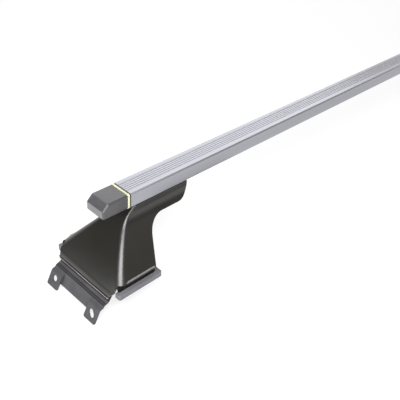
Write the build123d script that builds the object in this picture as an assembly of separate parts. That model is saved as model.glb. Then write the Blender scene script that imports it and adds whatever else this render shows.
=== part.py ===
from build123d import *
from math import atan, cos, hypot, radians, sin, sqrt, tan
import os

# Roof rack crossbar: a ribbed rectangular bar with a pressed steel foot under each end.
# Sizes are millimetres. The bar runs along X, its middle is at X = 0, and the bracket tips stand on Z = 0.
# The left foot is drawn in its own frame, with X running inboard from the bar's end and Z up from the
# bar's underside. The right foot is its mirror image.

# Bar
BAR_LENGTH = 1200.0
BAR_WIDTH = 32.0
BAR_HEIGHT = 20.0
BAR_WALL = 1.8
BAR_CORNER = 2.0
RIB_PITCH = 3.6
RIB_GROOVE = 1.2
RIB_DEPTH = 0.4
RIB_MARGIN = 6.6
SLOT_LIP = 2.4

# End cap, seal and the spigot that holds them in the bar
CAP_LENGTH = 36.5
CAP_SLANT_RUN = 8.0
CAP_SLANT_DROP = 8.0
CAP_ROUND = 3.0
SEAL_THICKNESS = 3.0
SEAM_WIDTH = 1.8
SEAM_STEP = 1.2
SPIGOT_LENGTH = 25.0
SPIGOT_FIT = 0.2

# Hood of the foot
HOOD_SHEET = 1.5
NECK_WIDTH = 30.0
NECK_DEPTH = 16.0
FLARE_ROUND = 25.0
BASE_SPREAD = 115.0
BASE_DEPTH = 67.5
FRONT_TOP = 7.0
LIP_REACH = 62.5
LIP_DROP = 15.1
FRONT_BOW = 3.7
CREASE_DROP = 9.5
LIP_KICK = 0.35
LIP_WIDTH = 107.0
LIP_END_WIDTH = 98.0
LIP_CORNER = 6.0
NECK_CORNER = 3.0
BASE_CORNER = 9.0
FLAG_LENGTH = 93.5
FLAG_DEPTH = 22.5
FLAG_ROUND = 18.0
WAIST_TOP = 26.5
WAIST_ROUND = 32.0
FLANK_FOOT = 4.6
FLANK_FOOT_ROUND = 4.0
SHOULDER_ROUND = 2.4
FLANGE_WIDTH = 1.0
HOOD_STATIONS = 12

# Base plate and pad
PLATE_SHEET = 1.5
PLATE_TUCK = 1.0
PLATE_FRONT_STEP = 3.0
PLATE_LIP_WIDTH = 97.6
PLATE_LIP_SHOW = 1.8
PLATE_NOTCH_STEP = 3.0
PAD_LENGTH = 66.5
PAD_WIDTH = 124.0
PAD_THICKNESS = 14.3
PAD_RIM = 7.8
PAD_REACH = 56.0
PAD_CORNER = 2.5
PAD_EDGE = 1.0
SHEET_FIT = 0.25

# Fixing bracket
BRACKET_SHEET = 1.8
BRACKET_WIDTH = 97.0
BRACKET_BEND = 2.2
BRACKET_FLANGE_END = -14.0
SLOPE_SHOW = 5.0
STRIP_RUN = 6.4
STRIP_DROP = 2.3
STEP_RUN = 1.6
STEP_DROP = 2.3
TAB_LEDGE_RUN = 5.0
TAB_LEDGE_DROP = 1.6
TAB_LENGTH = 20.0
TAB_SLOPE = 63.0
TAB_WIDTH = 21.0
TAB_CORNER = 2.0
PANEL_LENGTH = 17.7
WEB_LENGTH = 9.0
TAB_HOLE = 8.0
TAB_SLOT_WIDTH = 7.5
TAB_SLOT_LENGTH = 11.5
TAB_SLOT_TURN = 135.0
TAB_HOLE_DROP = 7.6
TAB_SLOT_DROP = 9.9

# Bolts of the bar
BAR_BOLT = 8.0
BAR_BOLT_FIRST = 28.0
BAR_BOLT_SPACING = 44.0
BAR_BOLT_HEAD = 13.0
BAR_BOLT_HEAD_THICKNESS = 5.0
BAR_WASHER = 16.0
BAR_WASHER_THICKNESS = 1.6
BAR_NUT = 13.0
BAR_NUT_THICKNESS = 6.5
BAR_BOLT_TAIL = 3.0

# Bolts of the bracket
BRACKET_BOLT = 6.0
BRACKET_BOLT_X = -29.0
BRACKET_BOLT_SPACING = 76.0
BRACKET_BOLT_HEAD = 10.0
BRACKET_BOLT_HEAD_THICKNESS = 4.0
BRACKET_WASHER = 12.0
BRACKET_WASHER_THICKNESS = 1.2
BRACKET_NUT = 10.0
BRACKET_NUT_THICKNESS = 5.0
BRACKET_BOLT_TAIL = 2.0

# Chamfer round every bolt's tip
BOLT_POINT = 0.8

# Clearances
BOLT_PLAY = 0.3
HEAD_PLAY = 1.0
THREAD_PLAY = 0.1
POCKET_PLAY = 0.5
NOTCH_PLAY = 0.5
SEAL_FIT = 0.1

# Values that follow from the sizes above
SLOT_MOUTH = BAR_BOLT + 2 * BOLT_PLAY
SLOT_WIDTH = BAR_BOLT_HEAD + 2 * HEAD_PLAY
SLOT_TOP = SLOT_LIP + BAR_BOLT_HEAD_THICKNESS + HEAD_PLAY
CAVITY_FLOOR = SLOT_TOP + BAR_WALL
FLARE = atan((BASE_SPREAD - NECK_WIDTH) / 2 / (BASE_DEPTH - NECK_DEPTH))
PAD_TOP = BASE_DEPTH + PLATE_SHEET
PAD_RIM_TOP = PAD_TOP + PAD_THICKNESS - PAD_RIM
PLATE_FRONT = PLATE_FRONT_STEP - PAD_REACH
PLATE_BACK = FLANK_FOOT
PLATE_HALF = BASE_SPREAD / 2 - PLATE_TUCK
CREASE_DEPTH = BASE_DEPTH + CREASE_DROP
LIP_DEPTH = BASE_DEPTH + LIP_DROP
PLATE_LIP_DEPTH = LIP_DEPTH + PLATE_LIP_SHOW
SLOPE_END_DEPTH = PLATE_LIP_DEPTH + SLOPE_SHOW
PLATE_INNER = HOOD_SHEET + SHEET_FIT
BRACKET_INNER = PLATE_INNER + PLATE_SHEET + SHEET_FIT
FRONT_CHORD = hypot(FRONT_TOP + LIP_REACH, LIP_DEPTH)
FRONT_RADIUS = FRONT_CHORD**2 / (8 * FRONT_BOW) + FRONT_BOW / 2
FRONT_SAG = (FRONT_RADIUS - FRONT_BOW) / FRONT_CHORD
FRONT_CENTRE_X = (FRONT_TOP - LIP_REACH) / 2 + FRONT_SAG * LIP_DEPTH
FRONT_CENTRE_DEPTH = LIP_DEPTH / 2 + FRONT_SAG * (FRONT_TOP + LIP_REACH)


def front_x(depth, inset=0.0):
    """X of the foot's bowed front at a depth under the bar, on a face moved inwards by inset."""
    return FRONT_CENTRE_X - sqrt((FRONT_RADIUS - inset) ** 2 - (FRONT_CENTRE_DEPTH - depth) ** 2)


def front_point(depth, inset=0.0):
    """Point of the foot's front in the side view, as X and Z."""
    return (front_x(depth, inset), -depth)


def kicked_point(depth, inset):
    """Point of a sheet nested behind the hood's lip, kicked out below its own lower crease."""
    kick = max(0, depth - CREASE_DEPTH - inset) * LIP_KICK
    return (front_x(depth, inset) - kick, -depth)


def front_arc(start, end, inset):
    """Arc of the foot's front between two depths."""
    return ThreePointArc(
        front_point(start, inset),
        front_point((start + end) / 2, inset),
        front_point(end, inset),
    )


def inward(depth):
    """Unit vector from the foot's front towards its inside, square to the sheet."""
    x, z = front_point(depth)
    return ((FRONT_CENTRE_X - x) / FRONT_RADIUS, (-FRONT_CENTRE_DEPTH - z) / FRONT_RADIUS)


def square_cut(end, across):
    """Outline of all that lies below a sheet's square-cut end, from a point of that end."""
    reach = LIP_DEPTH
    x, z = end
    ax, az = across
    return Polyline(
        (x - ax * reach, z - az * reach),
        (x + ax * reach, z + az * reach),
        (x + (ax + az) * reach, z + (az - ax) * reach),
        (x + (az - ax) * reach, z - (az + ax) * reach),
        close=True,
    )


def flank_half(depth, inset=0.0):
    """Half width of the hood at a depth: an upright neck, a round knee and a straight flare."""
    radius = FLARE_ROUND + inset
    below_knee = depth - NECK_DEPTH
    along = below_knee + FLARE_ROUND * tan(FLARE / 2)
    if along < 0:
        return NECK_WIDTH / 2 - inset
    if along > radius * sin(FLARE):
        return NECK_WIDTH / 2 + below_knee * tan(FLARE) - inset / cos(FLARE)
    return NECK_WIDTH / 2 + FLARE_ROUND - sqrt(radius**2 - along**2)


def side_solid(lines, width):
    """Solid from a closed side-view outline, centred across the bar."""
    return extrude(Plane.XZ * make_face(lines), width / 2, both=True)


def front_solid(lines, length):
    """Solid from a closed front-view outline, centred along the bar."""
    return extrude(Plane.YZ * make_face(lines), length / 2, both=True)


def plan_solid(face, bottom, height):
    """Solid from a plan-view face, standing on the given height."""
    return extrude(Pos(0, 0, bottom) * face, height)


def drilled(solid, places, diameter):
    """Solid with upright holes right through it."""
    reach = PAD_WIDTH
    for x, y in places:
        solid -= Pos(x, y, 0) * Cylinder(diameter / 2, 2 * reach)
    return solid


def hood_section(depth, inset):
    """Level section of the hood's body: square at the back, with rounded corners at the front."""
    share = depth / BASE_DEPTH
    corner = NECK_CORNER + (BASE_CORNER - NECK_CORNER) * share - inset
    kick = max(0, depth - CREASE_DEPTH) * LIP_KICK
    front = front_x(depth, inset) - kick
    half = flank_half(depth, inset)
    back = 2 * FLAG_LENGTH
    outline = FilletPolyline(
        (back, -half),
        (front, -half),
        (front, half),
        (back, half),
        radius=corner,
    )
    return Pos(0, 0, -depth) * make_face([outline, Line((back, half), (back, -half))])


def hood_body(inset):
    """Solid inside the hood's faces, moved inwards by inset."""
    bottom = LIP_DEPTH + 2 * LIP_CORNER + inset
    step = (bottom - inset) / HOOD_STATIONS
    depths = [inset + step * i for i in range(HOOD_STATIONS + 1)]
    return loft([hood_section(depth, inset) for depth in depths])


def foot_hood():
    """Pressed hood: bowed front, two flared flanks, the flag under the bar and the front lip."""
    hood = hood_body(0) - hood_body(HOOD_SHEET)
    far = 3 * FLAG_LENGTH
    deep = 2 * LIP_DEPTH
    wide = 2 * BASE_SPREAD

    free_edge = FilletPolyline(
        (FLAG_LENGTH, far),
        (FLAG_LENGTH, -FLAG_DEPTH),
        (WAIST_TOP, -FLAG_DEPTH),
        (FLANK_FOOT, -BASE_DEPTH),
        (front_x(BASE_DEPTH) + BASE_CORNER, -BASE_DEPTH),
        radius=[FLAG_ROUND, WAIST_ROUND, FLANK_FOOT_ROUND],
    )
    lip_back = Polyline(
        free_edge @ 1,
        (front_x(BASE_DEPTH) + 2 * HOOD_SHEET, -BASE_DEPTH),
        (front_x(deep) + 2 * HOOD_SHEET, -deep),
        (far, -deep),
        (far, far),
        free_edge @ 0,
    )
    hood -= side_solid([free_edge, lip_back], wide)

    lip_side = FilletPolyline(
        (LIP_WIDTH / 2, -BASE_DEPTH),
        (LIP_WIDTH / 2, -(LIP_DEPTH - LIP_CORNER)),
        (LIP_END_WIDTH / 2, -(LIP_DEPTH - LIP_CORNER) - LIP_CORNER / 2),
        (LIP_END_WIDTH / 2, -deep),
        radius=LIP_CORNER / 2,
    )
    outside = Polyline(lip_side @ 1, (wide, -deep), (wide, -BASE_DEPTH), lip_side @ 0)
    beside_lip = front_solid([lip_side, outside], 2 * far)
    hood -= beside_lip
    hood -= mirror(beside_lip, about=Plane.XZ)

    lip_cut = square_cut(front_point(LIP_DEPTH), inward(LIP_DEPTH))
    hood -= side_solid(lip_cut, wide)

    inner = flank_half(BASE_DEPTH) - HOOD_SHEET
    for side in (-1, 1):
        flange = Box(
            FLANK_FOOT - FLANK_FOOT_ROUND - front_x(BASE_DEPTH) - BASE_CORNER,
            FLANGE_WIDTH + HOOD_SHEET,
            HOOD_SHEET,
            align=(Align.MIN, Align.MIN if side > 0 else Align.MAX, Align.MIN),
        )
        hood += Pos(front_x(BASE_DEPTH) + BASE_CORNER, side * inner, -BASE_DEPTH) * flange

    half = NECK_WIDTH / 2
    shoulder = [
        Polyline(
            (half, -SHOULDER_ROUND),
            (half + SHOULDER_ROUND, -SHOULDER_ROUND),
            (half + SHOULDER_ROUND, SHOULDER_ROUND),
            (half - SHOULDER_ROUND, SHOULDER_ROUND),
            (half - SHOULDER_ROUND, 0),
        ),
        CenterArc((half - SHOULDER_ROUND, -SHOULDER_ROUND), SHOULDER_ROUND, 0, 90),
    ]
    above_shoulder = front_solid(shoulder, 2 * far)
    hood -= above_shoulder
    hood -= mirror(above_shoulder, about=Plane.XZ)
    return drilled(hood, bar_bolt_places(), BAR_BOLT + 2 * BOLT_PLAY)


def bar_bolt_places():
    """Places of the two bolts that hold a foot to the bar."""
    return [(BAR_BOLT_FIRST + BAR_BOLT_SPACING * i, 0) for i in range(2)]


def bracket_bolt_places():
    """Places of the two bolts that hold the bracket to the base plate."""
    return [(BRACKET_BOLT_X, side * BRACKET_BOLT_SPACING / 2) for side in (-1, 1)]


def plan_face(front, back, half):
    """Rounded rectangle in plan, from its front to its back and as wide on both sides."""
    return Pos((front + back) / 2, 0) * RectangleRounded(back - front, 2 * half, PAD_CORNER)


def lip_notch(back):
    """Plan of the notch that lets the front lips hang past the pad and the base plate."""
    width = LIP_WIDTH + 2 * NOTCH_PLAY
    return Pos(back, 0) * Rectangle(2 * PAD_REACH, width, align=(Align.MAX, Align.CENTER))


def base_plate():
    """Plate on the pad, with a skirt round it and a kicked lip between the hood's lip and the bracket."""
    plan = plan_face(PLATE_FRONT, PLATE_BACK, PLATE_HALF)
    inside = plan_face(PLATE_FRONT + PLATE_SHEET, PLATE_BACK - PLATE_SHEET, PLATE_HALF - PLATE_SHEET)
    notch = lip_notch(front_x(BASE_DEPTH, PLATE_INNER) + PLATE_NOTCH_STEP)
    plate = plan_solid(plan - notch, -PAD_TOP, PLATE_SHEET)
    plate += plan_solid(plan - inside - notch, -PAD_RIM_TOP, PAD_RIM_TOP - PAD_TOP)
    outer_inset = PLATE_INNER
    inner_inset = PLATE_INNER + PLATE_SHEET
    outer = front_arc(BASE_DEPTH, CREASE_DEPTH + outer_inset, outer_inset)
    inner = front_arc(PAD_TOP, CREASE_DEPTH + inner_inset, inner_inset)
    kicked = Polyline(
        outer @ 1,
        kicked_point(PLATE_LIP_DEPTH, outer_inset),
        kicked_point(PLATE_LIP_DEPTH, inner_inset),
        inner @ 1,
    )
    back = front_x(BASE_DEPTH, PLATE_INNER) + 2 * PLATE_NOTCH_STEP
    root = Polyline(inner @ 0, (back, -PAD_TOP), (back, -BASE_DEPTH), outer @ 0)
    plate += side_solid([outer, kicked, inner, root], PLATE_LIP_WIDTH)
    return drilled(plate, bracket_bolt_places(), BRACKET_BOLT + 2 * BOLT_PLAY)


def moved_sideways(points, distance):
    """Points of an open outline moved to its left by a distance, with mitred corners."""
    moved = []
    for i, point in enumerate(points):
        here = Vector(*point)
        before = Vector(*points[max(i - 1, 0)])
        after = Vector(*points[min(i + 1, len(points) - 1)])
        ways = [way.normalized() for way in (here - before, after - here) if way.length > 0]
        mean = sum(ways, Vector()).normalized()
        left = Vector(-mean.Y, mean.X)
        moved.append(here + left * (distance / abs(mean.dot(ways[0]))))
    return [(point.X, point.Y) for point in moved]


def folded_sheet(points, width):
    """Folded bracket sheet from the outer side of its side view."""
    middle = moved_sideways(points, BRACKET_SHEET / 2)
    fold = FilletPolyline(*middle, radius=BRACKET_BEND)
    return extrude(Plane.XZ * trace(fold, BRACKET_SHEET), width / 2, both=True)


def stepped(point, run, drop):
    """Point further outboard and down."""
    return (point[0] - run, point[1] - drop)


def down_tab(point, distance):
    """Point further down along the slope of the tabs."""
    return stepped(point, distance * cos(radians(TAB_SLOPE)), distance * sin(radians(TAB_SLOPE)))


def bracket_points():
    """Outer side of the bracket in the side view: the shared run, the bend of the tabs and their root."""
    flange = (BRACKET_FLANGE_END, -PAD_TOP)
    shoulder = front_point(PAD_TOP, BRACKET_INNER)
    slope_end = front_point(SLOPE_END_DEPTH, BRACKET_INNER)
    strip_end = stepped(slope_end, STRIP_RUN, STRIP_DROP)
    step_end = stepped(strip_end, STEP_RUN, STEP_DROP)
    tab_root = stepped(step_end, TAB_LEDGE_RUN, TAB_LEDGE_DROP)
    return [flange, shoulder, slope_end, strip_end], step_end, tab_root


def tab_plane(side, drop):
    """Plane on a tab's outer side, at a drop below its bend, with its Y axis down the tab."""
    x, z = down_tab(bracket_points()[2], drop)
    lean = radians(TAB_SLOPE)
    y = side * (BRACKET_WIDTH - TAB_WIDTH) / 2
    return Plane((x, y, z), x_dir=(0, 1, 0), z_dir=(-sin(lean), 0, cos(lean)))


def fixing_bracket():
    """Folded bracket: a flange under the base plate, a sloped run, a middle panel and two proud tabs."""
    run, step_end, tab_root = bracket_points()
    strip_end = run[-1]
    tab_tip = down_tab(tab_root, TAB_LENGTH)
    panel_end = down_tab(strip_end, PANEL_LENGTH)
    panel_half = BRACKET_WIDTH / 2 - TAB_WIDTH
    bracket = folded_sheet(run + [panel_end], 2 * panel_half + 2 * BRACKET_SHEET)

    tab = folded_sheet(run + [step_end, tab_root, tab_tip], TAB_WIDTH)
    through_tab = Axis((0, 0, 0), tab_plane(1, 0).z_dir)
    tip_corners = tab.edges().filter_by(through_tab).sort_by(Axis.Z)[:2]
    tab = fillet(tip_corners, TAB_CORNER)
    web = Polyline(strip_end, step_end, tab_root, down_tab(tab_root, WEB_LENGTH), panel_end, close=True)
    for side in (-1, 1):
        bracket += Pos(0, side * (BRACKET_WIDTH - TAB_WIDTH) / 2, 0) * tab
        bracket += Pos(0, side * (panel_half + BRACKET_SHEET / 2), 0) * side_solid(web, BRACKET_SHEET)

    through = 2 * BRACKET_SHEET
    hole = tab_plane(1, TAB_HOLE_DROP) * Circle(TAB_HOLE / 2)
    slot_shape = SlotOverall(TAB_SLOT_LENGTH, TAB_SLOT_WIDTH, rotation=TAB_SLOT_TURN)
    slot = tab_plane(-1, TAB_SLOT_DROP) * slot_shape
    bracket -= extrude(hole, through, both=True)
    bracket -= extrude(slot, through, both=True)
    return drilled(bracket, bracket_bolt_places(), BRACKET_BOLT + 2 * BOLT_PLAY)


def rubber_pad():
    """Pad on the car's roof: a rim under the plate's skirt and a raised middle that fills the skirt.

    The middle has a recess for the bracket's flange and pockets for its bolt heads.
    """
    notch_back = front_x(PAD_TOP, BRACKET_INNER + BRACKET_SHEET) + POCKET_PLAY
    plan = plan_face(-PAD_REACH, PAD_LENGTH - PAD_REACH, PAD_WIDTH / 2) - lip_notch(notch_back)
    pad = plan_solid(plan, -PAD_TOP - PAD_THICKNESS, PAD_RIM)
    pad = fillet(pad.faces().sort_by(Axis.Z)[0].edges(), PAD_EDGE)
    clear = PLATE_SHEET + SHEET_FIT
    middle = plan_face(notch_back, PLATE_BACK - clear, PLATE_HALF - clear)
    pad += plan_solid(middle, -PAD_RIM_TOP, PAD_RIM_TOP - PAD_TOP)
    recess_end = BRACKET_FLANGE_END + POCKET_PLAY
    recess = Box(
        recess_end - notch_back + PAD_REACH,
        BRACKET_WIDTH + 2 * POCKET_PLAY,
        2 * BRACKET_SHEET,
        align=(Align.MAX, Align.CENTER, Align.CENTER),
    )
    pad -= Pos(recess_end, 0, -PAD_TOP) * recess
    pocket_depth = BRACKET_SHEET + BRACKET_BOLT_HEAD_THICKNESS + POCKET_PLAY
    pocket_radius = BRACKET_BOLT_HEAD / sqrt(3) + POCKET_PLAY
    for x, y in bracket_bolt_places():
        pad -= Pos(x, y, -PAD_TOP) * Cylinder(pocket_radius, 2 * pocket_depth)
    return pad


def hexagon(flats, thickness):
    """Hexagon of a nut or bolt head, standing on Z = 0, with its corners turned off."""
    corner = flats / sqrt(3)
    turned = Cylinder(corner, thickness, align=(Align.CENTER, Align.CENTER, Align.MIN))
    excess = corner - flats / 2
    turned = chamfer(turned.edges().filter_by(GeomType.CIRCLE), excess / 2, excess)
    prism = extrude(RegularPolygon(corner, 6), thickness)
    return prism & turned


def ring(outer, inner, thickness):
    """Flat ring standing on Z = 0."""
    return extrude(Circle(outer / 2) - Circle(inner / 2), thickness)


def nut(flats, bolt, thickness):
    """Hexagon nut standing on Z = 0, clear of its bolt by the thread's play."""
    return hexagon(flats, thickness) - Cylinder(bolt / 2 + THREAD_PLAY, 3 * thickness)


def stud(diameter, seat, tip):
    """Upright bolt shank from its head's seat to its tip, with a chamfer round the tip."""
    shank = Pos(0, 0, (seat + tip) / 2) * Cylinder(diameter / 2, abs(tip - seat))
    rims = shank.edges().filter_by(GeomType.CIRCLE).sort_by(Axis.Z)
    rim = rims[-1] if tip > seat else rims[0]
    return chamfer(rim, BOLT_POINT)


def at_places(piece, places):
    """Copies of one piece at each place, as a group of separate solids."""
    return Compound([Pos(x, y, 0) * piece for x, y in places])


def bar_fasteners():
    """Square-head bolts in the bar's slot, with a washer and a nut under the neck's top."""
    washer_bottom = -HOOD_SHEET - BAR_WASHER_THICKNESS
    nut_bottom = washer_bottom - BAR_NUT_THICKNESS
    head = Pos(0, 0, SLOT_LIP) * Box(
        BAR_BOLT_HEAD,
        BAR_BOLT_HEAD,
        BAR_BOLT_HEAD_THICKNESS,
        align=(Align.CENTER, Align.CENTER, Align.MIN),
    )
    bolt = head + stud(BAR_BOLT, SLOT_LIP, nut_bottom - BAR_BOLT_TAIL)
    washer = Pos(0, 0, washer_bottom) * ring(BAR_WASHER, BAR_BOLT + 2 * BOLT_PLAY, BAR_WASHER_THICKNESS)
    nut_piece = Pos(0, 0, nut_bottom) * nut(BAR_NUT, BAR_BOLT, BAR_NUT_THICKNESS)
    places = bar_bolt_places()
    return {
        "bar_bolts": at_places(bolt, places),
        "bar_washers": at_places(washer, places),
        "bar_nuts": at_places(nut_piece, places),
    }


def bracket_fasteners():
    """Bolts whose heads are sunk in the pad, with a washer and a nut on the base plate."""
    head_bottom = -PAD_TOP - BRACKET_SHEET - BRACKET_BOLT_HEAD_THICKNESS
    washer_top = BRACKET_WASHER_THICKNESS - BASE_DEPTH
    nut_top = washer_top + BRACKET_NUT_THICKNESS
    head = Pos(0, 0, head_bottom) * hexagon(BRACKET_BOLT_HEAD, BRACKET_BOLT_HEAD_THICKNESS)
    bolt = head + stud(BRACKET_BOLT, -PAD_TOP - BRACKET_SHEET, nut_top + BRACKET_BOLT_TAIL)
    washer_bore = BRACKET_BOLT + 2 * BOLT_PLAY
    washer = Pos(0, 0, -BASE_DEPTH) * ring(BRACKET_WASHER, washer_bore, BRACKET_WASHER_THICKNESS)
    nut_piece = Pos(0, 0, washer_top) * nut(BRACKET_NUT, BRACKET_BOLT, BRACKET_NUT_THICKNESS)
    places = bracket_bolt_places()
    return {
        "bracket_bolts": at_places(bolt, places),
        "bracket_washers": at_places(washer, places),
        "bracket_nuts": at_places(nut_piece, places),
    }


def bar_section():
    """Section of the bar: ribbed top, hollow sides and the slot that takes the bolt heads."""
    middle = BAR_HEIGHT / 2
    low = (Align.CENTER, Align.MIN)
    section = Pos(0, middle) * RectangleRounded(BAR_WIDTH, BAR_HEIGHT, BAR_CORNER)
    section -= Pos(0, -BAR_WALL) * Rectangle(SLOT_MOUTH, SLOT_LIP + 2 * BAR_WALL, align=low)
    section -= Pos(0, SLOT_LIP) * Rectangle(SLOT_WIDTH, SLOT_TOP - SLOT_LIP, align=low)
    inside = BAR_WIDTH / 2 - BAR_WALL
    upper = BAR_HEIGHT - BAR_WALL - CAVITY_FLOOR
    section -= Pos(0, CAVITY_FLOOR) * Rectangle(2 * inside, upper, align=low)
    slot_wall = SLOT_WIDTH / 2 + BAR_WALL
    for side in (-1, 1):
        place = Pos(side * (slot_wall + inside) / 2, BAR_WALL)
        section -= place * Rectangle(inside - slot_wall, SLOT_TOP - BAR_WALL, align=low)
    count = int((BAR_WIDTH - 2 * RIB_MARGIN) / RIB_PITCH)
    for i in range(count):
        place = Pos((i - (count - 1) / 2) * RIB_PITCH, BAR_HEIGHT)
        section -= place * Rectangle(RIB_GROOVE, 2 * RIB_DEPTH)
    return section


def crossbar_tube():
    """Extruded bar along X, with its underside at Z = 0 and its middle at X = 0."""
    return extrude(Plane.YZ * bar_section(), BAR_LENGTH / 2, both=True)


def end_cap():
    """Moulded cap with a slanted end, a neck for the seal and a spigot pushed into the bar."""
    inboard = -SEAM_WIDTH - SEAL_THICKNESS
    outboard = inboard - CAP_LENGTH
    outline = Polyline(
        (inboard, 0),
        (outboard, 0),
        (outboard, BAR_HEIGHT - CAP_SLANT_DROP),
        (outboard + CAP_SLANT_RUN, BAR_HEIGHT),
        (inboard, BAR_HEIGHT),
        close=True,
    )
    cap = side_solid(outline, BAR_WIDTH)
    cap = fillet([edge for edge in cap.edges() if edge.center().X < inboard - CAP_ROUND], CAP_ROUND)
    from_left = (Align.MIN, Align.CENTER, Align.CENTER)
    neck = Box(-inboard, BAR_WIDTH - 2 * SEAM_STEP, BAR_HEIGHT - 2 * SEAM_STEP, align=from_left)
    cap += Pos(inboard, 0, BAR_HEIGHT / 2) * neck
    spigot_low = CAVITY_FLOOR + SPIGOT_FIT
    spigot_top = BAR_HEIGHT - BAR_WALL - SPIGOT_FIT
    spigot_width = BAR_WIDTH - 2 * BAR_WALL - 2 * SPIGOT_FIT
    spigot = Box(SPIGOT_LENGTH, spigot_width, spigot_top - spigot_low, align=from_left)
    return cap + Pos(0, 0, (spigot_low + spigot_top) / 2) * spigot


def cap_seal():
    """Seal ring round the cap's neck."""
    outer = RectangleRounded(BAR_WIDTH, BAR_HEIGHT, BAR_CORNER)
    inner = Rectangle(BAR_WIDTH - 2 * SEAM_STEP + 2 * SEAL_FIT, BAR_HEIGHT - 2 * SEAM_STEP + 2 * SEAL_FIT)
    seal = extrude(Plane.YZ * (outer - inner), SEAL_THICKNESS)
    return Pos(-SEAM_WIDTH - SEAL_THICKNESS, 0, BAR_HEIGHT / 2) * seal


def left_pieces():
    """Every piece at the bar's left end, in the foot's own frame."""
    pieces = {
        "end_cap": end_cap(),
        "cap_seal": cap_seal(),
        "foot_housing": foot_hood(),
        "base_plate": base_plate(),
        "rubber_pad": rubber_pad(),
        "fixing_bracket": fixing_bracket(),
    }
    return pieces | bar_fasteners() | bracket_fasteners()


os.makedirs("parts", exist_ok=True)
left = left_pieces()
stand_height = -min(vertex.Z for vertex in left["fixing_bracket"].vertices())
export_step(Pos(0, 0, stand_height) * crossbar_tube(), "parts/crossbar_tube.step")
for name, piece in left.items():
    placed = Pos(-BAR_LENGTH / 2, 0, stand_height) * piece
    export_step(placed, f"parts/{name}_left.step")
    export_step(mirror(placed, about=Plane.YZ), f"parts/{name}_right.step")
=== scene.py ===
from math import asin, atan, cos, hypot, pi, radians, sin, sqrt, tan

import bmesh
import bpy
import numpy as np
from mathutils import Matrix, Vector


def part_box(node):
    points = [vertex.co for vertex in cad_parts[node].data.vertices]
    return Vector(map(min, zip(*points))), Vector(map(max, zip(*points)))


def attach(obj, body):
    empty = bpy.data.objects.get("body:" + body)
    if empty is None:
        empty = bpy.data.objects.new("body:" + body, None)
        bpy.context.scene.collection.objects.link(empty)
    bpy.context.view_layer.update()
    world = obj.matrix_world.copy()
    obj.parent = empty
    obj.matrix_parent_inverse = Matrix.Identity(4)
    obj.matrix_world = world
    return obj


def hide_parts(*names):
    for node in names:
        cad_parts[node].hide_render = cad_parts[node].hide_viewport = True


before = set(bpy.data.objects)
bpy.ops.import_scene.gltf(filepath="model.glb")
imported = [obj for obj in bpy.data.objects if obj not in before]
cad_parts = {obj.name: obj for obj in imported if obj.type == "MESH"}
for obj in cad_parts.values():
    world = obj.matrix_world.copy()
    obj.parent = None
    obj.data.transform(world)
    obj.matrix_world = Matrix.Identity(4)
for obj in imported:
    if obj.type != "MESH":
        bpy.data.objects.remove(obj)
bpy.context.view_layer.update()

# Looks of a roof rack crossbar: a ribbed aluminium bar, moulded end caps and pressed black feet.
# Lengths are metres in the part's frame, with the bar along X and Z up.
MM = 0.001

# Camera, solved from the bar's edges in the photograph
CAMERA_PLACE = Vector((-0.9553, -0.4414, 0.5236))
CAMERA_AZIMUTH = radians(-48.206)
CAMERA_ELEVATION = radians(35.395)
CAMERA_ROLL = radians(4.730)
CAMERA_LENS = 52.0
CAMERA_SENSOR = 36.0
CAMERA_NEAR = 0.01
CAMERA_FAR = 50.0

# Softening of hard edges
SHEET_EDGE = 0.30 * MM
BAR_EDGE = 0.12 * MM
CAP_EDGE = 0.20 * MM
PAD_EDGE = 0.60 * MM
STEEL_EDGE = 0.20 * MM
EDGE_STEPS = 2
EDGE_ANGLE = radians(32)
MERGE_REACH = 0.002 * MM
FLAT_ANGLE = radians(0.4)

# Hood of the foot, in the foot's own frame: X inboard from the bar's end, depth down from its underside
HOOD_SHEET = 1.5 * MM
NECK_HALF = 15.0 * MM
NECK_DEPTH = 16.0 * MM
FLARE_ROUND = 25.0 * MM
BASE_HALF = 57.5 * MM
BASE_DEPTH = 67.5 * MM
FRONT_TOP = 7.0 * MM
LIP_REACH = 62.5 * MM
LIP_DEPTH = 82.6 * MM
LIP_EDGE_DEPTH = 81.6 * MM
FRONT_BOW = 3.7 * MM
CREASE_DEPTH = 77.0 * MM
LIP_KICK = 0.35
LIP_HALF = 53.5 * MM
LIP_END_HALF = 49.0 * MM
LIP_TAPER_TOP = 75.2 * MM
LIP_TAPER_END = 81.0 * MM
NECK_CORNER = 3.0 * MM
BASE_CORNER = 9.0 * MM
SHOULDER_ROUND = 2.4 * MM
FLAG_LENGTH = 93.5 * MM
FLAG_DEPTH = 22.5 * MM
FLAG_ROUND = 18.0 * MM
WAIST_TOP = 26.5 * MM
WAIST_ROUND = 32.0 * MM
FLANK_FOOT = 4.6 * MM
FLANGE_EDGE = 58.5 * MM
FLANGE_ROUND = 3.0 * MM
FLANGE_START_SHARE = 0.12
FLANGE_END_SHARE = 0.08
FLANK_CELLS = 40
FRONT_CELLS = 28
CORNER_LIP_CELLS = 6
CORNER_CELLS = 10
LIP_CELLS = 16
RIM_SINKS = (0.22, 0.5, 0.78)

# Rows of the hood's mesh in each stretch of its free edge, and their first run at the front corner
FLAG_END_ROWS = 12
FLAG_ROUND_ROWS = 10
FLAG_EDGE_ROWS = 14
WAIST_ROWS = 24
STRAIGHT_ROWS = 24
FOOT_ROWS = 12
FLAG_ROUND_CORNER = 5.0 * MM
FLAG_EDGE_CORNER = 10.0 * MM
WAIST_CORNER = 18.0 * MM
STRAIGHT_CORNER = 39.0 * MM

# Depths of the lines between the sheets at the foot's front, below the bar's underside
PLATE_LIP_DEPTH = 84.4 * MM
SLOPE_DEPTH = 89.4 * MM
STRIP_DEPTH = 91.7 * MM

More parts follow.
